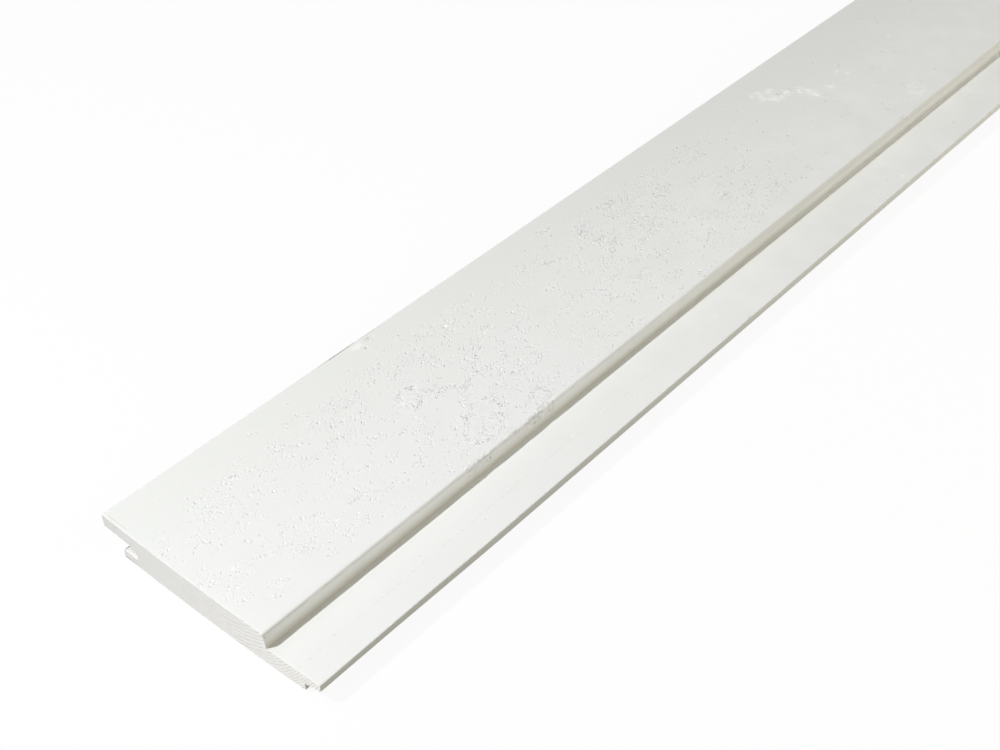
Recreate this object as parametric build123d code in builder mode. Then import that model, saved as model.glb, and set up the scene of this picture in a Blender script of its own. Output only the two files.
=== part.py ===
from build123d import *
import os
from math import cos, radians, sin, tan

# A moulded timber cladding board: a face lip over a groove on one edge, a ledge and tongue on the other.
# The board lies on its back with the face up. X runs across it from the groove edge to the tongue edge,
# Y along its length and Z out of the face. The origin is on the back, under the centre.

# Stock size. The overlap is the part of the width that two boards share once they are locked together.
board_length = 2400.0
board_thickness = 19.0
overall_width = 148.0
overlap = 20.0

# Groove edge: a face lip that hangs over a shorter back lip, with a slot between their roots.
lip_thickness = 7.3
lip_lean = 4.5  # degrees that the lip's edge leans in under its arris
lip_overhang = 14.6  # face lip past the back lip
back_lip_thickness = 4.9
slot_height = 4.3
slot_reach = 4.2  # how far the slot goes in past the wall above it

# Tongue edge: a slanted shoulder, a flat ledge, and a tongue that thins towards its tip.
shadow_gap = 13.5  # left open between the shoulder's foot and the next board's face lip
shoulder_lean = 13.5  # degrees from upright
tongue_taper = 9.5  # degrees that the underside rises towards the tip

# Room left in the joint between two boards.
lap_clearance = 1.2  # ledge to the next face lip's underside
tongue_clearance = 0.4  # tongue's underside to the next back lip's edge
tip_clearance = 0.4  # tongue's tip to the wall that it meets in the groove
back_gap = 4.3  # next back lip's edge to the step below the tongue

# Corner radii, from the planer's knives and the paint on them.
arris_radius = 0.6
shoulder_radius = 1.0  # the shoulder's top edge is worn rounder than the others
root_radius = 0.8  # inner corners
slot_radius = 1.6  # upper inner corner of the slot
tip_radius = 1.1  # underside of the tongue's tip

# Places across the board, from the groove edge to the tongue edge.
groove_edge = -overall_width / 2
tongue_edge = overall_width / 2
cover_width = overall_width - overlap  # what one board adds to a wall
back_lip_edge = groove_edge + lip_overhang
lap_wall = groove_edge + overlap + tip_clearance
slot_root = lap_wall + slot_reach
next_lip_edge = groove_edge + cover_width
next_back_lip_edge = back_lip_edge + cover_width
shoulder_foot = next_lip_edge - shadow_gap
step_wall = next_back_lip_edge - back_gap

# Heights above the back.
face = board_thickness
lip_underside = face - lip_thickness
ledge = lip_underside - lap_clearance
slot_ceiling = back_lip_thickness + slot_height
taper = tan(radians(tongue_taper))
tongue_underside = back_lip_thickness + tongue_clearance  # where the next back lip begins
tongue_tip_underside = tongue_underside + (tongue_edge - next_back_lip_edge) * taper
tongue_root_underside = tongue_underside - (next_back_lip_edge - step_wall) * taper

# The lip's corner stands out by what its rounding takes off, so the board keeps its overall width.
lip_angle = radians(lip_lean)
lip_corner = groove_edge - arris_radius * ((1 + sin(lip_angle)) / cos(lip_angle) - 1)

# How far each leaning face moves in over its height.
lip_inset = lip_thickness * tan(lip_angle)
shoulder_inset = (face - ledge) * tan(radians(shoulder_lean))

# The section's corners with their radii, from the face lip's arris down and round by the back.
corners = [
    ((lip_corner, face), arris_radius),
    ((lip_corner + lip_inset, lip_underside), arris_radius),
    ((lap_wall, lip_underside), root_radius),
    ((lap_wall, slot_ceiling), root_radius),
    ((slot_root, slot_ceiling), slot_radius),
    ((slot_root, back_lip_thickness), root_radius),
    ((back_lip_edge, back_lip_thickness), arris_radius),
    ((back_lip_edge, 0), arris_radius),
    ((step_wall, 0), arris_radius),
    ((step_wall, tongue_root_underside), root_radius),
    ((tongue_edge, tongue_tip_underside), tip_radius),
    ((tongue_edge, ledge), arris_radius),
    ((shoulder_foot, ledge), root_radius),
    ((shoulder_foot - shoulder_inset, face), shoulder_radius),
]

os.makedirs("parts", exist_ok=True)

# The board is one length of stock, planed to the section and sawn square at both ends.
with BuildPart() as cladding_board:
    with BuildSketch(Plane.XZ) as section:
        with BuildLine() as outline:
            FilletPolyline(
                *[point for point, _ in corners],
                radius=[radius for _, radius in corners],
                close=True,
            )
        make_face()
    extrude(amount=board_length / 2, both=True)

cladding_board.part.label = "cladding_board"
export_step(cladding_board.part, "parts/cladding_board.step")
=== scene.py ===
import math
from collections import namedtuple

import bpy
import numpy as np
from bpy.props import FloatProperty, FloatVectorProperty, PointerProperty, StringProperty
from mathutils import Euler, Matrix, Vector, noise
from mathutils.geometry import delaunay_2d_cdt


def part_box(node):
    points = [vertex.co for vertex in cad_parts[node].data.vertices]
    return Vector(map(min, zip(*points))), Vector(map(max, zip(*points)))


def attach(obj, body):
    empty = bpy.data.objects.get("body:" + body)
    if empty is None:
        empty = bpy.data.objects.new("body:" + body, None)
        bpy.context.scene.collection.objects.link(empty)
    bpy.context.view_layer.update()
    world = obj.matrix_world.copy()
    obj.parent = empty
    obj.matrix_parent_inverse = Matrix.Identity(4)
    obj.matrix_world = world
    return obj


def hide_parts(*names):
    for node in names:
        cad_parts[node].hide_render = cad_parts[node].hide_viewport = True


bl_info = {
    "name": "Painted cladding board",
    "version": (1, 0, 0),
    "blender": (4, 5, 0),
    "location": "3D View > Sidebar > Cladding",
    "description": "A moulded timber cladding board in opaque white paint, on a pale studio floor",
    "category": "Add Mesh",
}

MM = 0.001
BOARD = "cladding_board"
PIECE = "painted_board"

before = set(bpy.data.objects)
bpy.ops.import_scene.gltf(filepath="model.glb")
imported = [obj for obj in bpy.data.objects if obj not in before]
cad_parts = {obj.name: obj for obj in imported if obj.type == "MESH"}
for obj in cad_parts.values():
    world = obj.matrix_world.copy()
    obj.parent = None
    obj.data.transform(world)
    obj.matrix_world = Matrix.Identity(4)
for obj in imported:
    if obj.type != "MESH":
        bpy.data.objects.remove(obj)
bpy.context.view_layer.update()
low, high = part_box(BOARD)
WIDTH = high.x - low.x
THICKNESS = high.z - low.z
LENGTH = high.y - low.y
GROOVE_EDGE = low.x
NEAR_END = low.y
PITH_X, PITH_Z = 88.0, 49.0  # the tree's middle, in millimetres from the groove edge and above the back
STRAY_PITS = 0.003  # share of the pits' cells that hold one where the knives ran clean
SANDED = 0.10 * MM  # taken off the edges of both cuts
SAND_REACH = 0.35  # and how far along the board it fades out, in millimetres
PAINT_IOR = 1.46
FLOOR_GLOW = 0.93  # share of the floor's white that no shadow dims
FRAME_WIDTH = 1000  # the picture's width in pixels

# A place on the face is given in millimetres: x from the groove edge, y from the near end.
Knot = namedtuple("Knot", "x y across along turn height pale")
Band = namedtuple("Band", "width strength path")
Bruise = namedtuple("Bruise", "x y across along depth")

KNOTS = (
    Knot(57, 160, 9, 9, 20, 0.20, 0.0),
    Knot(92, 171, 16, 19, 25, 0.15, 0.1),
    Knot(101, 172, 6, 8, 10, -0.30, 0.2),
    Knot(29.5, 557.5, 8, 16, -38, 0.12, 0.9),
    Knot(45, 578.5, 4.5, 11.5, -74, 0.40, 1.0),
    Knot(53, 596, 5, 8, -30, 0.10, 0.3),
    Knot(100, 631, 7, 10, 30, 0.20, 0.6),
    Knot(42, 1018, 10, 17, 10, 0.40, 0.5),
    Knot(84, 1346, 8, 12, -15, 0.30, 0.3),
    Knot(27, 1724, 11, 19, 15, 0.45, 0.6),
    Knot(66, 2108, 8, 10, 0, 0.30, 0.3),
)

# Grain that the saw and the planer lifted, which the paint then set hard.
TORN_GRAIN = [
    Band(2.3, 1.0, ((57, 154), (50, 153), (47, 158), (47, 163), (50, 169), (55, 170), (59, 165), (60, 158),
                    (57, 154))),
    Band(2.2, 0.8, ((60, 158), (67, 152), (75, 149), (81, 146), (88, 146), (92, 152))),
    Band(3.2, 1.0, ((59, 172), (65, 171), (62, 178), (66, 184), (73, 182), (69, 189))),
    Band(2.4, 0.9, ((69, 189), (67, 194), (66, 199), (62, 203), (58, 210), (55, 216))),
    Band(2.4, 0.7, ((66, 199), (71, 211), (70, 219), (62, 228))),
    Band(2.2, 1.0, ((94, 159), (103, 155), (106, 163), (106, 170), (103, 177), (97, 185), (89, 190))),
    Band(2.2, 0.9, ((89, 190), (84, 186), (81, 178), (86, 169), (94, 159))),
    Band(1.8, 0.8, ((86, 169), (92, 173), (98, 170), (102, 165), (97, 160))),
    Band(3.0, 1.0, ((101, 203), (100, 210), (104, 213), (110, 210), (110, 203))),
    Band(2.6, 0.7, ((75, 235), (85, 234), (88, 223))),
    Band(4.0, 0.5, ((50, 366), (58, 372), (55, 384), (60, 392))),
    Band(2.0, 0.6, ((34, 575), (44, 576), (54, 580))),
]

# Short tufts: width, strength, and the x and y of both ends.
TUFTS = (
    (2.6, 0.9, 103, 222, 101, 215), (2.4, 1.0, 112.2, 140, 112.6, 156), (1.8, 0.5, 112.5, 156, 112.5, 190),
    (2.4, 1.0, 112.6, 190, 112.4, 207), (2.5, 0.8, 28, 215, 28, 219), (2.2, 0.9, 73, 5, 74, 9),
    (2.5, 0.9, 83, 10, 84, 14), (2.2, 0.7, 97, 26, 97, 31), (2.2, 0.7, 84, 4, 85, 7),
    (3.0, 0.8, 80, 42, 82, 47), (3.0, 0.7, 90, 41, 91, 56), (2.5, 0.7, 79, 33, 80, 38),
    (2.2, 0.8, 73, 18, 74, 22), (2.2, 0.7, 80, 20, 81, 24), (2.0, 0.9, 29, 56, 29, 63),
    (1.8, 0.8, 27, 45, 28, 49), (1.8, 0.9, 28, 35, 28, 38), (2.2, 0.8, 30, 84, 31, 88),
    (2.2, 0.6, 12, 86, 13, 89), (2.5, 0.7, 74, 62, 80, 71), (2.5, 0.8, 86, 68, 88, 72),
    (2.5, 0.9, 84, 84, 86, 96), (2.5, 0.6, 66, 90, 69, 97), (2.2, 0.7, 44, 69, 45, 73),
    (2.2, 0.7, 27, 110, 28, 114), (2.2, 0.7, 9, 113, 10, 117), (2.5, 0.8, 79, 120, 79, 125),
    (3.0, 0.8, 83, 213, 84, 216), (3.0, 0.7, 72, 257, 72, 262), (3.0, 0.7, 68, 274, 69, 278),
    (3.0, 0.6, 83, 248, 83, 252), (3.5, 0.8, 32, 300, 37, 309), (2.5, 0.7, 11, 323, 13, 328),
    (2.5, 0.7, 25, 285, 28, 289), (2.5, 0.6, 69, 300, 74, 304), (2.5, 0.9, 83, 300, 85, 305),
    (3.5, 0.6, 34, 334, 27, 345), (3.0, 0.6, 52, 335, 58, 338), (3.0, 0.6, 26, 364, 24, 382),
    (2.5, 0.8, 40, 383, 41, 388), (2.5, 0.7, 80, 378, 85, 381), (2.5, 0.7, 97, 376, 99, 381),
    (2.5, 0.7, 39, 403, 36, 408), (2.5, 0.6, 28, 415, 31, 424), (2.5, 0.7, 30, 441, 31, 445),
    (2.5, 0.6, 74, 426, 72, 436), (2.5, 0.6, 62, 464, 64, 469), (2.5, 0.45, 78, 565, 81, 570),
    (2.3, 0.9, 28.5, 558.5, 34, 562.5), (5.0, 0.40, 60, 634, 66, 642), (5.0, 0.35, 57, 664, 64, 672),
)
TORN_GRAIN += [Band(width, strength, ((x0, y0), (x1, y1))) for width, strength, x0, y0, x1, y1 in TUFTS]

# Smooth wood inside the knots and between them: x, y and radius.
CALM = ((96, 168, 7), (73, 165, 9), (53, 162, 4))

BRUISES = (
    Bruise(3.7, 182, 1.3, 2.0, 0.3),
    Bruise(8.0, 174.7, 0.8, 1.0, 0.25),
    Bruise(49.5, 168, 1.3, 1.6, 0.9),
    Bruise(60, 163, 0.9, 1.2, 0.5),
    Bruise(28, 217.5, 0.9, 1.1, 0.6),
    Bruise(82, 213, 0.8, 1.6, 0.5),
    Bruise(29.2, 558.6, 0.8, 1.1, 0.2),
    Bruise(31.4, 560.8, 0.8, 1.1, 0.2),
    Bruise(112.3, 145.5, 0.7, 1.3, 0.35),
    Bruise(112.5, 149.5, 0.7, 1.6, 0.40),
    Bruise(112.2, 153.5, 0.6, 1.2, 0.30),
    Bruise(112.6, 177, 0.6, 1.4, 0.25),
    Bruise(112.4, 192.5, 0.7, 1.4, 0.35),
    Bruise(112.6, 197, 0.7, 1.7, 0.40),
    Bruise(112.2, 202, 0.6, 1.2, 0.35),
    Bruise(112.4, 205.5, 0.6, 1.0, 0.30),
    Bruise(111.8, 591, 1.0, 2.0, 0.5),
)

# Single marks on the paint. Their height is above the back, and their three sizes are half-widths.
Mark = namedtuple("Mark", "x y height across along tall colour share")

MARKS = (
    Mark(113.4, 0.3, 17.2, 0.7, 1.3, 1.5, "#8A8678", 0.5),
    Mark(14.3, 2.6, 4.9, 0.8, 3.4, 0.9, "#615E57", 0.8),
    Mark(0.3, 161, 18.8, 0.9, 19.0, 1.1, "#838078", 0.75),
    Mark(1.0, 186, 19, 0.6, 10.0, 1.0, "#A8A59C", 0.25),
    Mark(101, 164, 19, 5.0, 4.0, 2.0, "#EEE0DC", 0.14),
    Mark(4.0, 172, 19, 3.0, 6.0, 2.0, "#FCFAF8", 0.6),
    Mark(148, 345, 10.4, 1.0, 2.6, 1.0, "#77746A", 0.25),
    Mark(142, 537, 10.5, 1.6, 2.6, 1.0, "#FCFCFA", 0.8),
    Mark(136.5, 527, 10.5, 0.5, 2.0, 1.0, "#BDBAB0", 0.5),
    Mark(135.6, 621, 10.5, 1.0, 3.0, 1.0, "#C9C6BD", 0.4),
    # The white marks on the far knot are painted highlights: on its bright facet, on the lit side of its rim
    # and on its streaks.
    Mark(34.0, 566.6, 19, 1.9, 3.6, 2.0, "#FFFFFF", 1.0),
    Mark(34.5, 552.7, 19, 4.0, 1.6, 2.0, "#FFFFFF", 0.8),
    Mark(19.8, 544.8, 19, 2.4, 1.8, 2.0, "#FFFFFF", 0.7),
    Mark(19.2, 552.3, 19, 2.0, 1.5, 2.0, "#FFFFFF", 0.7),
    Mark(39, 575.3, 19, 7.0, 1.7, 2.0, "#FFFFFF", 0.9),
    Mark(49.5, 577.6, 19, 7.0, 1.9, 2.0, "#FFFFFF", 0.9),
    Mark(41, 573.2, 19, 2.5, 2.4, 2.0, "#FFFFFF", 0.8),
    Mark(53, 594.4, 19, 2.6, 3.6, 2.0, "#FFFFFF", 0.6),
    Mark(45.5, 616, 19, 1.2, 2.6, 2.0, "#FFFFFF", 0.9),
    Mark(52, 619, 19, 1.6, 3.0, 2.0, "#FFFFFF", 0.6),
    Mark(47, 688, 19, 1.5, 3.5, 2.0, "#FFFFFF", 0.6),
)


def linear(code):
    """The linear colour of an sRGB hex code."""
    channels = [int(code[i:i + 2], 16) / 255 for i in (1, 3, 5)]
    return [c / 12.92 if c <= 0.04045 else ((c + 0.055) / 1.055) ** 2.4 for c in channels]


def add_node(tree, kind, inputs=(), **settings):
    """Adds a shader node and gives its outputs. Inputs, in order or by name, are values or other outputs."""
    node = tree.nodes.new("ShaderNode" + kind)
    for name, value in settings.items():
        setattr(node, name, value)
    for key, value in inputs.items() if isinstance(inputs, dict) else enumerate(inputs):
        if isinstance(value, bpy.types.NodeSocket):
            tree.links.new(value, node.inputs[key])
        else:
            node.inputs[key].default_value = value
    return node.outputs


def length(name, description, millimetres):
    """A length that the user can change."""
    return FloatProperty(name=name, description=description, default=millimetres * MM, unit="LENGTH")


def hex_colour(name, description, code):
    """A colour that the user can change."""
    return StringProperty(name=name, description=description + ", as an sRGB hex code", default=code)


class BoardSettings(bpy.types.PropertyGroup):
    """Sizes of the board's section, as the planer's knives cut it, and its natural bend."""

    lip_thickness: length("Face lip", "Thickness of the lip over the groove", 7.3)
    lip_lean: FloatProperty(
        name="Lip lean", description="How far the lip's edge leans in from upright",
        default=math.radians(4.5), subtype="ANGLE")
    lip_overhang: length("Lip overhang", "Face lip past the back lip", 13.8)
    back_lip: length("Back lip", "Thickness of the lip below the groove", 4.9)
    lap_depth: length("Lap depth", "Groove edge to the wall that the next tongue meets", 20.1)
    slot_height: length("Slot height", "Height of the slot at the groove's root", 4.3)
    slot_depth: length("Slot depth", "How far the slot goes in past the lap wall", 4.2)
    face_width: length("Face", "Groove edge to the shoulder's top edge", 112.7)
    shoulder_foot: length("Shoulder foot", "Groove edge to the shoulder's foot", 114.5)
    ledge_height: length("Ledge", "Height of the ledge above the back", 10.5)
    step_wall: length("Step wall", "Groove edge to the wall under the tongue", 138.3)
    tongue_root: length("Tongue root", "Height of the tongue's underside at its root", 4.58)
    tongue_tip: length("Tongue tip", "Height of the tongue's underside at its tip", 5.2)
    cup: length("Cup", "How far the board's edges have risen as it dried", 1.185)
    cut_bow: length("Cut bow", "How far the near saw cut stands out at its middle", 0.596)
    snipe: FloatProperty(
        name="Snipe", description="Share of the tongue's thickness that the planer took off at the near end",
        default=0.2, min=0.0, max=0.5)
    fine_mesh: length("Fine mesh", "Mesh size on the near stretch of the face", 1.7)
    near_stretch: length("Near stretch", "Length from the near end that has the fine mesh", 760)


class StageSettings(bpy.types.PropertyGroup):
    """The camera, the lamps and the floor."""

    lens: FloatProperty(
        name="Lens", description="Focal length of the camera", default=54.33, unit="CAMERA")
    camera_place: FloatVectorProperty(
        name="Camera place", description="Where the camera stands",
        default=(0.39565, -1.47152, 0.54551), unit="LENGTH", subtype="XYZ")
    camera_turn: FloatVectorProperty(
        name="Camera turn", description="Which way the camera faces",
        default=[math.radians(a) for a in (49.5383, -0.7644, 39.9851)], unit="ROTATION", subtype="EULER")
    floor_size: FloatProperty(
        name="Floor", description="Side of the square floor", default=40.0, unit="LENGTH")
    floor_colour: hex_colour("Floor colour", "Pale painted floor", "#EDEDEA")
    bounce_colour: hex_colour("Bounce colour", "The floor as it lights the near end", "#8E8B82")
    far_bounce_colour: hex_colour("Far bounce colour", "The floor as it lights the rest", "#D0CDC4")
    key_colour: hex_colour("Key colour", "Cool white of the key lamps", "#F7F9FF")
    fill_colour: hex_colour("Fill colour", "Warm white of the fill lamps", "#FFFCF1")
    key_strength: FloatProperty(
        name="Key", description="Strength of the distant soft key light", default=1.545)
    near_power: FloatProperty(
        name="Near lamp", description="Power of the soft lamp over the near end", default=5.25, unit="POWER")
    fill_power: FloatProperty(
        name="Fill lamp", description="Power of the soft fill on the tongue side", default=6.3, unit="POWER")
    front_power: FloatProperty(
        name="Front lamp", description="Power of the soft fill on the sawn end", default=8.9, unit="POWER")
    sky_strength: FloatProperty(
        name="Sky", description="Strength of the even light from all round", default=0.2)


# Where the key light comes from, read from the shadow that the shoulder throws on the ledge.
TO_KEY = Vector((-0.463, -0.458, 0.757))


def section_corners(size):
    """Corners of the section, anticlockwise from the back: x, height and radius in metres."""
    left = GROOVE_EDGE
    arris, root, lip_arris = 0.6 * MM, 0.8 * MM, 0.35 * MM
    lip_corner = left - lip_arris * ((1 + math.sin(size.lip_lean)) / math.cos(size.lip_lean) - 1)
    lip_under = THICKNESS - size.lip_thickness
    lip_inset = size.lip_thickness * math.tan(size.lip_lean)
    slot_top = size.back_lip + size.slot_height
    return [
        (left + size.step_wall, 0.0, arris),
        (left + size.step_wall, size.tongue_root, root),
        (left + WIDTH, size.tongue_tip, 0.5 * MM),
        (left + WIDTH, size.ledge_height, arris),
        (left + size.shoulder_foot, size.ledge_height, root),
        (left + size.face_width, THICKNESS, 1.1 * MM),
        (lip_corner, THICKNESS, lip_arris),
        (lip_corner + lip_inset, lip_under, lip_arris),
        (left + size.lap_depth, lip_under, 1.7 * MM),
        (left + size.lap_depth, slot_top, root),
        (left + size.lap_depth + size.slot_depth, slot_top, 1.6 * MM),
        (left + size.lap_depth + size.slot_depth, size.back_lip, root),
        (left + size.lip_overhang, size.back_lip, arris),
        (left + size.lip_overhang, 0.0, arris),
    ]


class Section:
    """The board's section as a path: distance along it, place, outward normal, and where its flats lie."""

    ARC_STEPS = 3

    def __init__(self, corners):
        seam = Vector((0.0, 0.0))
        spots = [seam] + [Vector((x, z)) for x, z, _ in corners] + [seam]
        self.place, self.normal = [seam], [Vector((0.0, -1.0))]
        self.flats = []
        self.arcs = []
        for before, here, after, radius in zip(spots, spots[1:], spots[2:], [r for _, _, r in corners]):
            into, out = (here - before).normalized(), (after - here).normalized()
            turn = math.atan2(into.x * out.y - into.y * out.x, into.dot(out))
            reach = radius * math.tan(abs(turn) / 2)
            centre = here - into * reach + Vector((-into.y, into.x)) * math.copysign(radius, turn)
            self.flats.append((len(self.place) - 1, len(self.place)))
            start = len(self.place)
            for step in range(self.ARC_STEPS + 1):
                angle = turn * step / self.ARC_STEPS
                along = Vector((into.x * math.cos(angle) - into.y * math.sin(angle),
                                into.x * math.sin(angle) + into.y * math.cos(angle)))
                outward = Vector((along.y, -along.x))
                self.place.append(centre + outward * math.copysign(radius, turn))
                self.normal.append(outward)
            self.arcs.append((start, len(self.place) - 1))
        self.flats.append((len(self.place) - 1, len(self.place)))
        self.place.append(seam)
        self.normal.append(Vector((0.0, -1.0)))
        steps = [0.0] + [(b - a).length for a, b in zip(self.place, self.place[1:])]
        self.distance = np.cumsum(steps)
        self.length = float(self.distance[-1])

    def at(self, s):
        """x, height, and the normal's x and height at distances s along the section."""
        rows = [[p.x for p in self.place], [p.y for p in self.place],
                [n.x for n in self.normal], [n.y for n in self.normal]]
        return [np.interp(s, self.distance, row) for row in rows]

    def front(self):
        """Distances between which the section shows from above: tongue tip, ledge, shoulder and face."""
        return self.distance[self.arcs[2][0]], self.distance[self.arcs[6][1]]


def from_groove(x):
    return (np.asarray(x) - GROOVE_EDGE) / MM


def from_near_end(y):
    return (np.asarray(y) - NEAR_END) / MM


def smooth_step(low_edge, high_edge, value):
    t = np.clip((value - low_edge) / (high_edge - low_edge), 0, 1)
    return t * t * (3 - 2 * t)


def distance_to_path(x, y, path):
    """Distance from each point to a path of straight runs."""
    nearest = np.full(np.shape(x), 1e9)
    for (x0, y0), (x1, y1) in zip(path, path[1:]):
        run = max((x1 - x0) ** 2 + (y1 - y0) ** 2, 1e-12)
        t = np.clip(((x - x0) * (x1 - x0) + (y - y0) * (y1 - y0)) / run, 0, 1)
        nearest = np.minimum(nearest, np.hypot(x - x0 - t * (x1 - x0), y - y0 - t * (y1 - y0)))
    return nearest


def knot_radius(knot, x, y):
    """Distance from a knot's middle, where 1 is its rim."""
    turn = math.radians(knot.turn)
    dx, dy = x - knot.x, y - knot.y
    u = dx * math.cos(turn) + dy * math.sin(turn)
    v = dy * math.cos(turn) - dx * math.sin(turn)
    return np.hypot(u / knot.across, v / knot.along)


def near_face(z, depth):
    """Which heights are less than a depth, in millimetres, below the face."""
    return z > THICKNESS - depth * MM


def on_face(z, nz):
    """Which points lie on the face and its rounded edges."""
    return (nz > 0.2) & near_face(z, 2)


def torn_amount(x, y):
    """From 0, planed smooth, to 1, torn, at points of the face."""
    # The bands are drawn as plain paths, and noise frays them.
    wide = ripple(x, y, 0 * x, 6.0)
    other = ripple(x + 50, y, 0 * x, 6.0)
    u, v = x + 1.8 * wide, y + 2.6 * other
    amount = np.zeros(np.shape(x))
    for band in TORN_GRAIN:
        away = distance_to_path(u, v, band.path)
        amount = np.maximum(amount, band.strength * (1 - smooth_step(0.3 * band.width, band.width, away)))
    for knot in KNOTS:
        rim = knot_radius(knot, u, v)
        amount = np.maximum(amount, 0.12 * (1 - smooth_step(0.8, 1.1, rim)))
    return amount * np.clip(0.75 + 0.9 * ripple(x, y + 70, 0 * x, 2.6), 0, 1)


def pale_and_highlight_amount(x, y):
    """From 0 to 1, how much paler the paint is laid on the knots, and on the torn grain as a painted
    highlight.
    """
    amount = np.zeros(np.shape(x))
    frayed = 0.35 * ripple(x, y, 0 * x + 20, 5.0)
    blotches = np.clip(0.55 + 1.1 * ripple(x, y, 0 * x + 33, 2.8), 0.1, 1)
    for knot in KNOTS:
        rim = knot_radius(knot, x, y) + frayed
        amount = np.maximum(amount, knot.pale * blotches * (1 - smooth_step(0.75, 1.1, rim)))
    # The torn grain is laid paler too: a painted highlight that makes up for the shade its relief throws.
    return np.maximum(amount, 0.4 * torn_amount(x, y))


def pit_density(x, y):
    """Share of the surface's cells that hold a pit, at points of the face."""
    # The knives ran clean along both edges of the face, and most of the pits lie between.
    clean = smooth_step(0, 70, y)
    start = 24 - 12 * clean
    stop = 100 + 9 * smooth_step(70, 130, y) * (1 - smooth_step(380, 440, y))
    between = smooth_step(start, start + 12, x) * (1 - smooth_step(stop, stop + 5, x))
    clumps = ripple(x + 11, y, 0 * x, 7.0)
    drift = ripple(x, y + 300, 0 * x, 45.0)
    runs = ripple(0 * x, y, 0 * x + 5, 95.0)
    density = np.clip(0.36 + 0.75 * clumps + 0.3 * drift, 0.03, 0.9)
    # The saw cut cleaner past the first half metre, and from 800 mm on the rough stretches come and go.
    half_metre = 1 - 0.92 * smooth_step(455, 525, y)
    stretch = np.where(y < 800, half_metre, np.clip(0.55 + 0.9 * runs, 0.12, 1.0))
    for calm_x, calm_y, radius in CALM:
        density = density * (0.1 + 0.9 * smooth_step(0.7, 1.2, np.hypot(x - calm_x, y - calm_y) / radius))
    return between * density * stretch + STRAY_PITS


def ripple(x, y, z, grain):
    """Smooth noise from -1 to 1 whose lumps are as wide as grain, in millimetres, and twice as long."""
    points = np.stack([x / grain, y / (2 * grain), z / grain], -1)
    return np.array([noise.noise(Vector(p)) for p in points])


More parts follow.
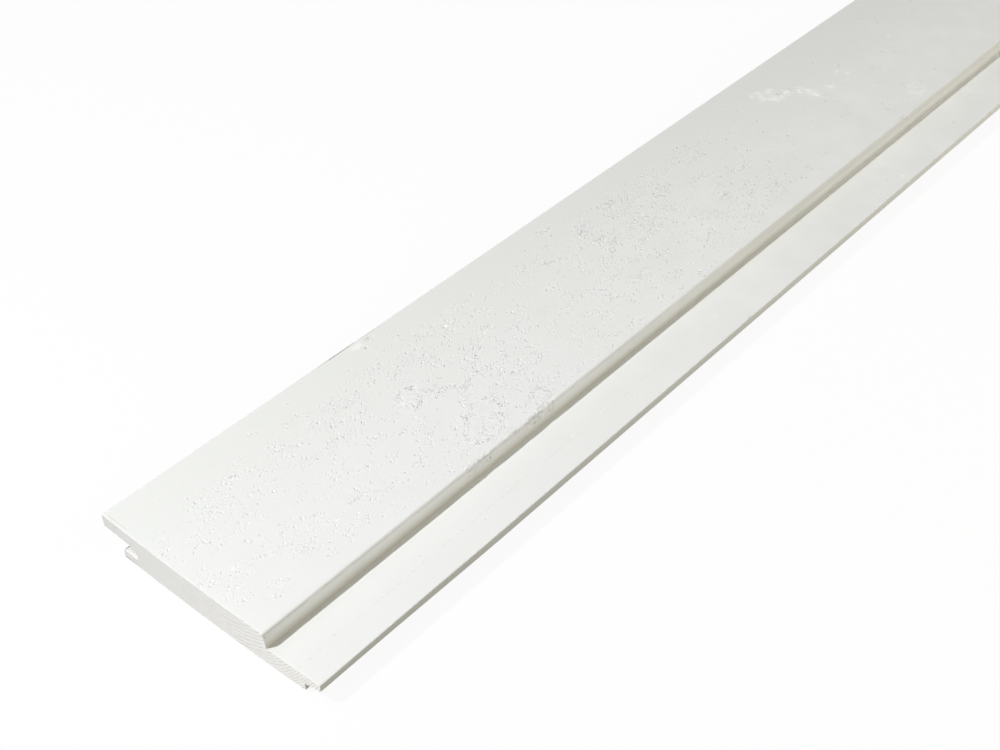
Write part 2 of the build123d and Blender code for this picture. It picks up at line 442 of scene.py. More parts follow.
class Skin:
    """The board's long surface laid flat: distance round the section and along the board, in millimetres."""

    COARSE = 12.8  # where nothing shows
    LEVELS = 6  # of the lattice, each half as wide as the one before
    GUARD = 0.35  # a column this far off each end of a corner's arc keeps the arc crisp

    def __init__(self, section, size):
        self.section = section
        self.size = size
        self.length = LENGTH / MM
        self.round = section.length / MM
        self.columns = section.distance / MM

    def mesh_size(self, s, y):
        """The wanted edge length at points of the skin."""
        x, z, _, _ = self.section.at(s * MM)
        x = from_groove(x)
        start, stop = (d / MM for d in self.section.front())
        fine, near = self.size.fine_mesh / MM, self.size.near_stretch / MM
        front = (s >= start - 0.5) & (s <= stop + 0.5)
        face = near_face(z, 1.5)
        wanted = np.where(front, np.where(y < near, fine * (1 + y / 1500), 6.4), self.COARSE)
        wanted = np.where(~front, np.minimum(wanted, 3 + 0.35 * np.minimum(y, self.length - y)), wanted)
        for band in TORN_GRAIN:
            away = distance_to_path(x, y, band.path) - band.width
            wanted = np.where(face, np.minimum(wanted, 1.1 + 0.4 * np.maximum(away, 0)), wanted)
        for knot in KNOTS:
            away = (knot_radius(knot, x, y) - 1.1) * min(knot.across, knot.along)
            fineness = 1.0 if knot.y < 700 else 2.0
            wanted = np.where(face, np.minimum(wanted, fineness + 0.4 * np.maximum(away, 0)), wanted)
        for bruise in BRUISES:
            away = np.hypot((x - bruise.x) / bruise.across, (y - bruise.y) / bruise.along) - 1.3
            near_it = 0.5 + 0.5 * np.maximum(away, 0) * bruise.across
            wanted = np.where(near_face(z, 3), np.minimum(wanted, near_it), wanted)
        # Both cuts get a fine rim, the near one above all.
        wanted = np.minimum(wanted, 0.7 + 0.35 * y)
        return np.minimum(wanted, 2.0 + 0.35 * (self.length - y))

    def rows(self, s):
        """Places along the board of the points of one column."""
        count = round(self.length / self.COARSE)
        found = []
        for level in range(self.LEVELS):
            parts = count * 2 ** level
            y = np.arange(parts + 1) * (self.length / parts)
            new = np.arange(len(y)) % 2 == 1 if level else np.ones(len(y), bool)
            wanted = self.mesh_size(np.full(len(y), s), y)
            keep = new & ((level == 0) | (wanted < 1.5 * y[1]))
            found.append(y[keep])
        return np.sort(np.concatenate(found))

    def lattice(self):
        """Lattice points over the whole skin, each finer level only in the cells that need it."""
        count = np.array([round(self.round / self.COARSE), round(self.length / self.COARSE)])
        corners = np.stack(np.meshgrid(np.arange(count[0] + 1), np.arange(count[1] + 1)), -1).reshape(-1, 2)
        step = np.array([self.round, self.length]) / count
        yield corners[:, 0] * step[0], corners[:, 1] * step[1], step.max()
        cells = corners[(corners < count).all(axis=1)]
        quarters = np.array([(0, 0), (0, 1), (1, 0), (1, 1)])
        new_spots = np.array([(0, 1), (1, 0), (1, 1), (1, 2), (2, 1)])
        for _ in range(1, self.LEVELS):
            step = step / 2
            # A cell is split where the mesh size somewhere in it can fall below the finer step.
            middle = (2 * cells + 1) * step
            slack = 0.5 * math.hypot(*(2 * step))
            cells = cells[self.mesh_size(middle[:, 0], middle[:, 1]) < 1.5 * step.max() + slack]
            spots = np.unique((2 * cells[:, None] + new_spots).reshape(-1, 2), axis=0)
            s, y = spots[:, 0] * step[0], spots[:, 1] * step[1]
            keep = self.mesh_size(s, y) < 1.5 * step.max()
            yield s[keep], y[keep], step.max()
            cells = (2 * cells[:, None] + quarters).reshape(-1, 2)

    def points(self):
        """Every point of the skin: columns at the corners, and a lattice on the flats."""
        s_all, y_all = [], []
        groups = [(0.0, self.round)]
        for start, stop in self.section.arcs:
            arc = list(self.columns[start:stop + 1])
            groups.append([arc[0] - self.GUARD] + arc + [arc[-1] + self.GUARD])
        for group in groups:
            rows = self.rows(group[len(group) // 2] if len(group) > 2 else 0.0)
            for s in group:
                s_all.append(np.full(len(rows), s))
                y_all.append(rows)
        last = len(self.columns) - 1
        flats = [(self.columns[a] + self.GUARD * (a > 0), self.columns[b] - self.GUARD * (b < last))
                 for a, b in self.section.flats]
        for s, y, step in self.lattice():
            room = np.full(len(s), -1.0)
            for start, stop in flats:
                room = np.maximum(room, np.minimum(s - start, stop - s))
            keep = room > 0.4 * step
            s_all.append(s[keep])
            y_all.append(y[keep])
        return np.concatenate(s_all), np.concatenate(y_all)


def triangulate(points, edges=()):
    """Delaunay triangles, anticlockwise, as rows of indices into points."""
    found = delaunay_2d_cdt([Vector(p) for p in points], list(edges), [], 0, 1e-6, True)
    source = [ids[0] if ids else -1 for ids in found[3]]
    if min(source) < 0:
        raise RuntimeError("the triangulation added points")
    triangles = np.array([[source[v] for v in face] for face in found[2]])
    a, b, c = (points[triangles[:, k]] for k in range(3))
    area = (b[:, 0] - a[:, 0]) * (c[:, 1] - a[:, 1]) - (c[:, 0] - a[:, 0]) * (b[:, 1] - a[:, 1])
    triangles[area < 0] = triangles[area < 0][:, ::-1]
    return triangles


def relief(x, y, z, nx, nz):
    """How far the painted surface stands out from the planed section, in metres, and how torn it is."""
    bx, by = from_groove(x), from_near_end(y)
    zmm = z / MM
    out = np.zeros(len(x))
    face = on_face(z, nz)
    torn = np.where(face | ((nx > 0.5) & near_face(z, 4.5)), torn_amount(bx, by), 0)
    lumps = ripple(bx, by, zmm, 1.1)
    broad = ripple(bx + 40, by, zmm, 7.0)
    out += np.where(nz > -0.5, 0.03 * broad, 0)
    # On the thin shoulder edge the lifted fibres stand furthest out.
    out += torn * np.where(bx > 111.2, 0.26, 0.10) * lumps
    for knot in KNOTS:
        rim = knot_radius(knot, bx + 0.8 * broad, by) + 0.08 * lumps
        rings = 0.35 * np.cos(rim * 13.0 + 1.5 * broad) * (1 - smooth_step(0.8, 1.2, rim))
        dome = np.exp(-2.2 * rim ** 2)
        out += np.where(face, knot.height * (dome + rings), 0)
    # The shoulder's top edge is rubbed, more in some places than in others.
    edge = np.exp(-((bx - 112.4) / 1.1) ** 2) * near_face(z, 2.2)
    out -= edge * 0.22 * (1 - smooth_step(20, 80, by))
    out += edge * 0.12 * smooth_step(60, 110, by) * (1 - smooth_step(200, 270, by))
    rub = ripple(bx * 0, by, zmm * 0, 5.0) + 0.6 * ripple(bx * 0 + 9, by, zmm * 0, 1.2)
    out -= edge * 0.12 * np.clip(rub, -0.2, 1.5)
    for bruise in BRUISES:
        away = np.hypot((bx - bruise.x) / bruise.across, (by - bruise.y) / bruise.along)
        dent = np.exp(-away ** 2) * (1 + 0.7 * lumps)
        out -= np.where(near_face(z, 3), bruise.depth * dent, 0)
        torn = np.maximum(torn, np.where(near_face(z, 3), np.exp(-(away / 1.2) ** 2), 0))
    return out * MM, torn


def ring_relief(x, z):
    """How far the saw left each growth ring standing on a cut end, in metres."""
    bx, bz = from_groove(x), z / MM
    radius = np.hypot(bx - PITH_X, bz - PITH_Z)
    wander = np.array([noise.noise(Vector((u / 14, v / 14, 3.1))) for u, v in zip(bx, bz)])
    phase = (radius + 0.6 * np.maximum(radius - 50, 0)) / 2.4 + 0.8 * wander
    hard = 0.5 + 0.5 * np.cos(2 * math.pi * phase)
    return 0.032 * MM * hard ** 2 * (0.35 + 0.65 * smooth_step(35, 75, bx))


def cut_bow(size, x, y):
    """How far the near cut stands out, dying away along the board."""
    across = from_groove(x) / (WIDTH / MM)
    return size.cut_bow * 4 * across * (1 - across) * np.exp(-from_near_end(y) / 40)


def out_on_tongue(x):
    """From 0 at the tongue's root to 1 at its edge."""
    return smooth_step(138.0, 147.0, from_groove(x))


def tongue_growth(x, y):
    """How far the tongue's edge stands out past the near end, where the planer ran less deep."""
    return 0.35 * MM * out_on_tongue(x) * smooth_step(40, 130, from_near_end(y))


def tongue_snipe(size, x, y, z):
    """How far the tongue's underside rises over its last stretch, where the planer took more off."""
    below = np.maximum(size.ledge_height - z, 0)
    return size.snipe * below * out_on_tongue(x) * (1 - smooth_step(0, 130, from_near_end(y)))


def cup_lift(size, x):
    return size.cup * (2 * np.asarray(x) / WIDTH) ** 2


def inside_section(points, outline):
    """Which points lie inside a closed outline, and how far each lies from it."""
    crossed = np.zeros(len(points), int)
    nearest = np.full(len(points), 1e9)
    x, z = points[:, 0], points[:, 1]
    for (x0, z0), (x1, z1) in zip(outline, np.roll(outline, -1, axis=0)):
        spans = (z0 > z) != (z1 > z)
        if z1 != z0:
            crossed += spans & (x < x0 + (z - z0) * (x1 - x0) / (z1 - z0))
        nearest = np.minimum(nearest, distance_to_path(x, z, ((x0, z0), (x1, z1))))
    return crossed % 2 == 1, nearest


def cut_end(points, rim, y, step, outward):
    """Closes a sawn end: its triangles, and the points with new ones that stand out on the growth rings."""
    outline = points[rim][:, ::2] / MM
    spots = np.meshgrid(np.arange(-80, 80, step), np.arange(0, 20, step))
    lattice = np.stack(spots, -1).reshape(-1, 2)
    inside, away = inside_section(lattice, outline)
    lattice = lattice[inside & (away > 0.4 * step)]
    flat = np.concatenate([outline, lattice])
    loop = [(k, (k + 1) % len(rim)) for k in range(len(rim))]
    cap = triangulate(flat, loop)
    cap = cap[inside_section(flat[cap].mean(axis=1), outline)[0]]
    index = np.concatenate([rim, len(points) + np.arange(len(lattice))])
    across, up = lattice.T * MM
    inner = np.stack([across, y + outward * ring_relief(across, up), up], -1)
    return index[cap[:, ::-outward]], np.concatenate([points, inner])


class CLADDING_OT_board(bpy.types.Operator):
    """Builds the painted board as one closed mesh"""

    bl_idname = "cladding.board"
    bl_label = "Board"

    def execute(self, context):
        size = context.scene.cladding_board
        section = Section(section_corners(size))
        skin = Skin(section, size)
        s, y = skin.points()
        triangles = triangulate(np.stack([s, y], -1))[:, ::-1]
        # The last column is the first one again, on the other side of the seam.
        first, last = np.flatnonzero(s == 0.0), np.flatnonzero(s == skin.round)
        first, last = first[np.argsort(y[first])], last[np.argsort(y[last])]
        same = np.arange(len(s))
        same[last] = first
        triangles = same[triangles]
        x, z, nx, nz = section.at(s * MM)
        along = NEAR_END + y * MM
        out, torn = relief(x, along, z, nx, nz)
        # The cut edges are broken by a touch of sandpaper.
        from_end = np.minimum(y, skin.length - y)
        out -= SANDED * np.exp(-from_end / SAND_REACH)
        points = np.stack([x + nx * out, along, z + nz * out], -1)
        face = on_face(z, nz)
        pitted = np.where(face, pit_density(from_groove(x), y), STRAY_PITS)
        pitted = np.maximum(pitted, 0.9 * torn)
        pale = np.where(face, pale_and_highlight_amount(from_groove(x), y), 0)
        caps, rims = [], []
        # The near cut is seen close, so its lattice is finer.
        for end, step, outward in ((0.0, 0.55, -1), (skin.length, 2.2, 1)):
            rim = np.flatnonzero((y == end) & (s < skin.round))
            rims.append(rim[np.argsort(s[rim])])
            cap, points = cut_end(points, rims[-1], NEAR_END + end * MM, step, outward)
            caps.append(cap)
        points[:, 2] += tongue_snipe(size, *points.T)
        points[:, 0] += tongue_growth(points[:, 0], points[:, 1])
        points[:, 1] -= cut_bow(size, points[:, 0], points[:, 1])
        points[:, 2] += cup_lift(size, points[:, 0])
        faces = np.concatenate([triangles] + caps)
        # Points that the seam left unused are dropped.
        used = np.unique(faces)
        new_index = np.full(len(points), -1)
        new_index[used] = np.arange(len(used))
        faces = new_index[faces]
        mesh = bpy.data.meshes.new(PIECE)
        mesh.from_pydata(points[used].tolist(), [], faces.tolist())
        mesh.update()
        mesh.shade_smooth()
        rim_points = np.zeros(len(points), bool)
        rim_points[np.concatenate(rims)] = True
        rim_points = rim_points[used]
        pairs = np.zeros(len(mesh.edges) * 2, int)
        mesh.edges.foreach_get("vertices", pairs)
        sharp = rim_points[pairs].reshape(-1, 2).all(axis=1)
        mesh.attributes.new("sharp_edge", "BOOLEAN", "EDGE").data.foreach_set("value", sharp)
        for name, values in (("torn", torn), ("pitted", pitted), ("pale", pale)):
            # The cut ends have none of the three.
            values = np.concatenate([values, np.zeros(len(points) - len(values))])
            grade = mesh.attributes.new(name, "FLOAT", "POINT")
            grade.data.foreach_set("value", values.astype(np.float32)[used])
        is_cap = np.zeros(len(faces), np.int32)
        is_cap[len(triangles):] = 1
        mesh.materials.append(white_exterior_paint(size))
        mesh.materials.append(sealed_end_grain(size))
        mesh.polygons.foreach_set("material_index", is_cap)
        mesh.update()
        board = bpy.data.objects.new(PIECE, mesh)
        context.scene.collection.objects.link(board)
        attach(board, "root")
        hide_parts(BOARD)
        return {"FINISHED"}


class Finish:
    """A material being built up: its nodes, the fields that edges are read from, and its colour so far."""

    def __init__(self, name, code):
        self.material = bpy.data.materials.new(name)
        self.material.use_nodes = True
        self.tree = self.material.node_tree
        self.tree.nodes.clear()
        self.colour = linear(code) + [1]
        # The shaded point in millimetres, in the part's own frame and then from the groove edge and near end.
        metres = add_node(self.tree, "TexCoord")["Object"]
        self.place = add_node(self.tree, "VectorMath", {0: metres, "Scale": 1000.0}, operation="SCALE")[0]
        corner = (GROOVE_EDGE / MM, NEAR_END / MM, 0.0)
        self.spot = add_node(self.tree, "VectorMath", (self.place, corner), operation="SUBTRACT")[0]
        self.field = dict(zip("xyz", add_node(self.tree, "SeparateXYZ", (self.spot,))))

    def where(self, *shares, **edges):
        """Shares multiplied with each other and with soft edges over stretches of the named fields.

        An edge rises from 0 at its first place to 1 at its second. With four places it falls again.
        """
        shares = list(shares)
        for name, stretch in edges.items():
            for ends in (stretch[:2], stretch[:1:-1])[:len(stretch) // 2]:
                shares.append(add_node(
                    self.tree, "MapRange", (self.field[name], *ends), interpolation_type="SMOOTHSTEP")[0])
        product = shares[0]
        for share in shares[1:]:
            product = add_node(self.tree, "Math", (product, share), operation="MULTIPLY")[0]
        return product

    def line(self, value, middle, width):
        """1 on a thin line where a value passes its middle, and 0 beside it."""
        off = add_node(self.tree, "Math", (value, middle), operation="SUBTRACT")[0]
        self.field["away"] = add_node(self.tree, "Math", (off,), operation="ABSOLUTE")[0]
        return self.where(away=(width, 0.2 * width))

    def pits(self, place, density, cell, radius):
        """Bowls of one size, one to a cell at most: 1 at the middle of a bowl and 0 outside it."""
        cells = add_node(self.tree, "TexVoronoi", {"Vector": place, "Scale": 1 / cell})
        chance, size, _ = add_node(self.tree, "SeparateColor", {"Color": cells["Color"]})
        kept = add_node(self.tree, "Math", (chance, density), operation="LESS_THAN")[0]
        depth = add_node(self.tree, "MapRange", (size, 0.0, 1.0, 0.4, 1.0))[0]
        self.field["from_bowl"] = cells["Distance"]
        return self.where(kept, depth, from_bowl=(radius / cell, 0.0))

    def lay(self, code, *shares, **edges):
        """Lays a colour over what is there, by the share that where gives."""
        self.colour = add_node(self.tree, "Mix", {
            "Factor": self.where(*shares, **edges), "A": self.colour, "B": linear(code) + [1]},
            data_type="RGBA")["Result"]

    def close(self, height, roughness):
        """Ends the material with its finest relief, whose height is in millimetres."""
        metres = self.where(height, MM)
        bump = add_node(self.tree, "Bump", {"Strength": 1.0, "Distance": 1.0, "Height": metres})[0]
        shader = add_node(self.tree, "BsdfPrincipled", {
            "Base Color": self.colour, "Roughness": roughness, "IOR": PAINT_IOR, "Normal": bump})[0]
        add_node(self.tree, "OutputMaterial", {"Surface": shader})
        return self.material


def white_exterior_paint(size):
    """Opaque white exterior paint, sprayed in two thin coats over fine-sawn softwood."""
    # The paint hides the wood's colour, and what the eye gets is its skin: a satin, almost even white, with a
    # pit wherever the saw pulled out a fibre, each dark on the side towards the light and bright beyond.
    paint = Finish("White exterior paint on fine-sawn softwood", "#E7E8E3")
    tree, place, field = paint.tree, paint.place, paint.field

    def lift(x):
        return float(cup_lift(size, x * MM + GROOVE_EDGE)) / MM

    wander = add_node(tree, "TexNoise", {"Vector": place, "Scale": 0.7, "Detail": 1.0})["Color"]
    shift = add_node(tree, "VectorMath", (wander, (1.5, 1.5, 1.5), place), operation="MULTIPLY_ADD")[0]
    # Pits and lumps are longer along the grain than across it.
    bent = add_node(tree, "VectorMath", (shift, (1.0, 0.68, 1.0)), operation="MULTIPLY")[0]
    for name in ("torn", "pitted", "pale"):
        field[name] = add_node(tree, "Attribute", attribute_name=name)["Fac"]
    for name, scale, detail in (("sway", 0.05, 3.0), ("gaps", 0.5, 1.0), ("tint", 0.04, 3.0)):
        field[name] = add_node(tree, "TexNoise", {"Vector": place, "Scale": scale, "Detail": detail})["Fac"]

    # Real pits are 0.3 to 1.3 mm across. The finer ones would not show, so the small kind is drawn 1.1 mm
    # across and the wide kind 1.6 mm.
    wide = paint.pits(bent, paint.where(field["pitted"], 0.8), 2.1, 0.8)
    small = paint.pits(bent, field["pitted"], 1.3, 0.55)
    field["lumps"] = add_node(tree, "TexNoise", {"Vector": bent, "Scale": 1.3, "Detail": 1.5})["Fac"]
    fibres = add_node(tree, "VectorMath", (place, (1.6, 0.09, 1.6)), operation="MULTIPLY")[0]
    brush = add_node(tree, "TexNoise", {"Vector": fibres, "Scale": 1.0, "Detail": 2.0})["Fac"]

    # Stray fibres stand out of the paint or leave it open: only the noise's peaks and hollows are kept.
    swing = add_node(tree, "MapRange", (field["lumps"], 0.3, 0.7, -1.0, 1.0))[0]
    strewn = paint.where(0.3, pitted=(0.3, 0.95))
    ragged = add_node(tree, "Math", (field["torn"], strewn), operation="MAXIMUM")[0]
    lifted = paint.where(swing, swing, swing, ragged)

    swayed = add_node(tree, "Math", (field["sway"], 4.0, field["x"]), operation="MULTIPLY_ADD")[0]
    # A thin crack runs along the shoulder, just under its rubbed edge.
    under = add_node(tree, "Math", (field["gaps"], 0.8, field["z"]), operation="MULTIPLY_ADD")[0]
    crack = paint.where(
        paint.line(under, THICKNESS / MM - 0.95 + lift(112.5), 0.38), x=(111.5, 112.2), y=(380, 200),
        sway=(0.36, 0.5))
    # The feed roller left a chain of scuffs along the ledge.
    scuffs = paint.where(
        paint.line(swayed, 134.2, 0.9), 0.22, y=(400, 300), gaps=(0.42, 0.54), sway=(0.46, 0.58))
    # The saw pressed a thin line into the paint behind the near end.
    behind_cut = paint.where(paint.line(field["y"], 1.9, 0.4), x=(2, 5, 11, 24), gaps=(0.3, 0.5))

    # Further on the saw tore deeper.
    deeper = 1.0
    for stretch, share in (((0, 260), 0.33), ((220, 360), 0.35)):
        deeper = add_node(tree, "Math", (paint.where(y=stretch), share, deeper), operation="MULTIPLY_ADD")[0]
    small, wide, lifted = [paint.where(part, deeper) for part in (small, wide, lifted)]
    # Heights in millimetres.
    height = paint.where(brush, 0.012)
    for part, scale in ((small, -0.35), (wide, -0.45), (lifted, 0.40), (crack, -0.02), (behind_cut, -0.08)):
        height = add_node(tree, "Math", (part, scale, height), operation="MULTIPLY_ADD")[0]

    paint.lay("#F3F3F1", field["tint"])
    paint.lay("#ECEDEA", 0.6, y=(450, 150))
    # The face is painted a little greyer towards the groove edge, and the ledge's corner near the end darker:
    # both are painted shade.
    paint.lay("#E9EAE6", x=(85, 0))
    paint.lay("#D8D6D0", 0.35, x=(126, 115), y=(160, 0), z=(15.0, 12.0))
    # The knots are laid paler, and the torn grain too as a painted highlight. Inside the groove the colour is
    # creamier.
    paint.lay("#FAFAF7", field["pale"])
    paint.lay("#F0EDE6", 0.8, x=(27, 25), z=(1.0, 2.0, 12.0, 13.0))
    # Pits, lifted fibres and the ledge's scuffs are laid in white: on pits and fibres this is a painted
    # highlight that makes up for the shade of their relief, and it is stronger in the middle of the rough
    # stretch.
    field["deep"] = add_node(tree, "Math", (wide, small), operation="MAXIMUM")[0]
    bright = scuffs
    for other in (paint.where(0.65, deep=(0.0, 0.5)), paint.where(ragged, 1.2, lumps=(0.5, 0.62))):
        bright = add_node(tree, "Math", (other, bright), operation="MAXIMUM")[0]
    middle = paint.where(y=(150, 330, 450, 530))
    highlight_boost = add_node(tree, "Math", (middle, 1.2, 1.0), operation="MULTIPLY_ADD")[0]
    paint.lay("#FFFFFF", bright, highlight_boost)
    # Light dies in the clefts, and the shade there is a little warmer.
    paint.lay("#B5B2A4", ragged, 0.12, lumps=(0.42, 0.3))
    # On the shoulder the clefts between torn fibres are painted dark brown: painted shade.
    paint.lay("#6E6550", field["torn"], 0.45, lumps=(0.48, 0.38), x=(112.4, 113.2))
    # The shoulder's upper part is painted lighter near the end and greyer further on: painted light and
    # shade.
    flank_light_and_shade = paint.where(x=(112.4, 113.0), z=(14.6, 15.6))
    paint.lay("#FFFFFF", flank_light_and_shade, 0.3, y=(280, 200))
    paint.lay("#DAD8D0", flank_light_and_shade, 0.5, y=(300, 480))
    # The crack is painted dark: painted shade in it.
    paint.lay("#6E6A5C", crack, 0.2)
    # Faint grey rubbings lie beside the scuffs.
    paint.lay("#8E8B82", paint.line(swayed, 135.0, 0.9), 0.10, y=(380, 200), gaps=(0.5, 0.38))
    # Little light reaches the shoulder's foot, and its warm shade is painted there.
    dark = add_node(tree, "MapRange", (field["y"], 280, 460, 0.65, 0.4))[0]
    paint.lay("#CAC5B6", dark, x=(112.6, 113.2, 114.8, 115.4), z=(14.6, 11.3))
    # Further on, the shoulder's shadow on the ledge is widened with painted shade.
    paint.lay("#DAD6C8", 0.45, x=(116.6, 117.4, 117.5, 120), y=(250, 400), z=(15.0, 12.0))
    # Further on, the shade in the ledge's corner is painted lighter: painted light.
    paint.lay("#FFFFFF", 0.6, x=(114.8, 115.3, 116.7, 117.3), y=(350, 550), z=(12.5, 11.5))
    # The pressed line is painted a little darker: painted shade in it.
    paint.lay("#B5B2A4", behind_cut, 0.3)
    for mark in MARKS:
        centre = (mark.x, mark.y, mark.height + lift(mark.x))
        off = add_node(tree, "VectorMath", (paint.spot, centre), operation="SUBTRACT")[0]
        half = (mark.across, mark.along, mark.tall)
        reach = add_node(tree, "VectorMath", (off, half), operation="DIVIDE")[0]
        away = add_node(tree, "VectorMath", (reach,), operation="LENGTH")["Value"]
        field["frayed"] = add_node(tree, "Math", (field["lumps"], 1.2, away), operation="MULTIPLY_ADD")[0]
        paint.lay(mark.colour, mark.share, frayed=(1.6, 0.9))
    return paint.close(height, 0.48)


def sealed_end_grain(size):
    """Sawn end grain of pine, sealed with one thin coat of the white paint."""
    # The thin coat sinks into the soft wood and stays on the hard, so growth rings show as fine dark lines.
    grain = Finish("Sealed sawn end grain of pine", "#DFE0E0")
    tree, place, field = grain.tree, grain.place, grain.field
    for name, scale, detail in (("wander", 0.07, 2.0), ("patchy", 0.35, 3.0), ("grit", 1.2, 3.0)):
        field[name] = add_node(tree, "TexNoise", {"Vector": place, "Scale": scale, "Detail": detail})["Fac"]
    flat = add_node(tree, "VectorMath", (grain.spot, (1, 0, 1)), operation="MULTIPLY")[0]
    from_pith = add_node(tree, "VectorMath", (flat, (PITH_X, 0, PITH_Z)), operation="DISTANCE")["Value"]
    bent = add_node(tree, "Math", (field["wander"], 5.0, from_pith), operation="MULTIPLY_ADD")[0]
    # A real ring is 1.2 mm wide here. That is too fine to show, so the inner ones are drawn 2.4 mm wide and
    # the outer ones 1.5 mm.
    inner_ring, outer_ring = 2.4, 1.5
    outer = add_node(tree, "Math", (bent, 52.0), operation="SUBTRACT")[0]
    outer = add_node(tree, "Math", (outer, 0.0), operation="MAXIMUM")[0]
    closer = add_node(tree, "Math", (outer, inner_ring / outer_ring - 1, bent), operation="MULTIPLY_ADD")[0]
    phase = grain.where(closer, 2 * math.pi / inner_ring)
    field["wave"] = add_node(tree, "Math", (phase,), operation="SINE")[0]
    # Towards the groove the wood is slower grown and the saw left it smooth.
    shares = []
    for ramp in ((field["x"], 26.0, 79.0, 0.1, 1.0), (field["patchy"], 0.3, 0.6, 0.35, 1.0)):
        shares.append(add_node(tree, "MapRange", ramp, interpolation_type="SMOOTHSTEP")[0])
    line = grain.where(*shares, wave=(0.5, 0.95))
    grit = grain.where(field["grit"], 0.07)
    height = add_node(tree, "Math", (line, -0.04, grit), operation="MULTIPLY_ADD")[0]
    grain.lay("#F9F9F8", add_node(tree, "MapRange", (field["x"], 0.0, WIDTH / MM))[0])
    grain.lay("#AAA49C", line, 0.42)
    # The end is dark along the back lip's lower edge. The cup has lifted that edge.
    centred = add_node(tree, "SeparateXYZ", (place,))["X"]
    bend = grain.where(centred, centred, -size.cup / MM * 4 / (WIDTH / MM) ** 2)
    field["above"] = add_node(tree, "Math", (field["z"], bend), operation="ADD")[0]
    grain.lay("#5E5B54", 0.95, above=(0.9, 0.2), x=(26, 16))
    return grain.close(height, 0.7)


class CLADDING_OT_stage(bpy.types.Operator):
    """Lays the floor and sets the camera, the lamps and the even light"""

    bl_idname = "cladding.stage"
    bl_label = "Stage"

    def execute(self, context):
        stage = context.scene.cladding_stage
        scene = context.scene
        scene.view_settings.view_transform = "Standard"
        half = stage.floor_size / 2
        mesh = bpy.data.meshes.new("studio_floor")
        sheet = [(-half, -half, 0), (half, -half, 0), (half, half, 0), (-half, half, 0)]
        mesh.from_pydata(sheet, [], [(0, 1, 2, 3)])
        mesh.materials.append(pale_floor(stage))
        floor = bpy.data.objects.new("studio_floor", mesh)
        scene.collection.objects.link(floor)

        lens = bpy.data.cameras.new("camera")
        lens.lens = stage.lens
        lens.clip_start = 0.02
        # The picture's axis runs through the middle of a pixel, half a pixel right of the frame's centre and
        # half a pixel below it.
        lens.shift_x = -0.5 / FRAME_WIDTH
        lens.shift_y = 0.5 / FRAME_WIDTH
        camera = bpy.data.objects.new("camera", lens)
        camera.location = stage.camera_place
        camera.rotation_euler = Euler(stage.camera_turn)
        scene.collection.objects.link(camera)
        scene.camera = camera

        corner = Vector((0.04, NEAR_END, THICKNESS))
        middle = Vector((0.04, NEAR_END + 0.5, 0.01))
        cool, warm = linear(stage.key_colour), linear(stage.fill_colour)
        key = add_light(scene, "SUN", "key", corner + TO_KEY * 3, corner, cool, stage.key_strength)
        key.angle = math.radians(2.0)
        lamp = add_light(scene, "AREA", "near_lamp", corner + TO_KEY, corner, cool, stage.near_power)
        lamp.size = 0.05
        side = Vector((1.1, NEAR_END + 0.95, 0.5))
        fill = add_light(scene, "AREA", "tongue_fill", side, middle, warm, stage.fill_power)
        fill.size = 0.8
        ahead = Vector((0.3, NEAR_END - 1.5, 0.6))
        front = add_light(scene, "AREA", "front_fill", ahead, corner, warm, stage.front_power)
        front.size = 1.2

        world = bpy.data.worlds.new("studio")
        world.use_nodes = True
        scene.world = world
        tree = world.node_tree
        tree.nodes.clear()
        to_camera = add_node(tree, "LightPath")["Is Camera Ray"]
        soft = add_node(tree, "Background", {"Color": warm + [1], "Strength": stage.sky_strength})[0]
        white = add_node(tree, "Background", {"Color": (1, 1, 1, 1), "Strength": 1.0})[0]
        add_node(tree, "OutputWorld", {"Surface": add_node(tree, "MixShader", (to_camera, soft, white))[0]})
        return {"FINISHED"}


def add_light(scene, kind, name, place, target, colour, energy):
    """Adds a lamp that shines from place to target."""
    light = bpy.data.lights.new(name, kind)
    light.color = colour
    light.energy = energy
    lamp = bpy.data.objects.new(name, light)
    lamp.location = place
    lamp.rotation_euler = (target - place).to_track_quat("-Z", "Y").to_euler()
    scene.collection.objects.link(lamp)
    return light


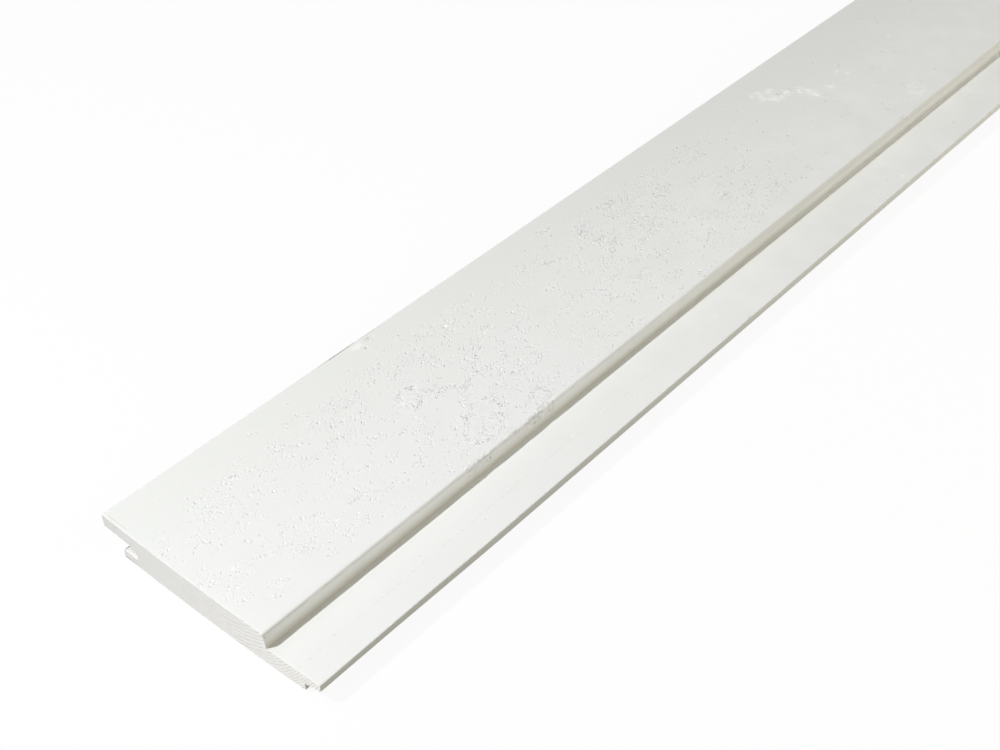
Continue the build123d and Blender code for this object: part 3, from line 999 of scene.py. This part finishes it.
def pale_floor(stage):
    """A pale matt floor that the camera sees as white, with a faint shadow left in it."""
    material = bpy.data.materials.new("Pale studio floor")
    material.use_nodes = True
    tree = material.node_tree
    tree.nodes.clear()
    to_camera = add_node(tree, "LightPath")["Is Camera Ray"]
    matt = add_node(tree, "BsdfDiffuse", {"Color": linear(stage.floor_colour) + [1]})[0]
    glow = add_node(tree, "Emission", {"Color": (1, 1, 1, 1), "Strength": 1.0})[0]
    seen = add_node(tree, "MixShader", (FLOOR_GLOW, matt, glow))[0]
    # To the board the floor is a dull grey at the near end, so that it throws little light up at the tongue.
    place = add_node(tree, "NewGeometry")["Position"]
    along = add_node(tree, "SeparateXYZ", (place,))["Y"]
    paler = add_node(tree, "MapRange", (along, NEAR_END, NEAR_END + 0.75), interpolation_type="SMOOTHSTEP")[0]
    near, far = linear(stage.bounce_colour) + [1], linear(stage.far_bounce_colour) + [1]
    bounce = add_node(tree, "Mix", {"Factor": paler, "A": near, "B": far}, data_type="RGBA")["Result"]
    dull = add_node(tree, "BsdfDiffuse", {"Color": bounce})[0]
    add_node(tree, "OutputMaterial", {"Surface": add_node(tree, "MixShader", (to_camera, dull, seen))[0]})
    return material


class CLADDING_PT_panel(bpy.types.Panel):
    """Lists the board's and the stage's settings"""

    bl_idname = "CLADDING_PT_panel"
    bl_label = "Cladding board"
    bl_space_type = "VIEW_3D"
    bl_region_type = "UI"
    bl_category = "Cladding"

    def draw(self, context):
        layout = self.layout
        for group, operator in (("cladding_board", "cladding.board"), ("cladding_stage", "cladding.stage")):
            settings = getattr(context.scene, group)
            box = layout.box()
            for name in settings.__annotations__:
                box.prop(settings, name)
            box.operator(operator)


CLASSES = (BoardSettings, StageSettings, CLADDING_OT_board, CLADDING_OT_stage, CLADDING_PT_panel)


def register():
    for cls in CLASSES:
        bpy.utils.register_class(cls)
    bpy.types.Scene.cladding_board = PointerProperty(type=BoardSettings)
    bpy.types.Scene.cladding_stage = PointerProperty(type=StageSettings)


def unregister():
    del bpy.types.Scene.cladding_stage
    del bpy.types.Scene.cladding_board
    for cls in reversed(CLASSES):
        bpy.utils.unregister_class(cls)


def main():
    register()
    bpy.ops.cladding.board()
    bpy.ops.cladding.stage()


if __name__ == "__main__":
    main()
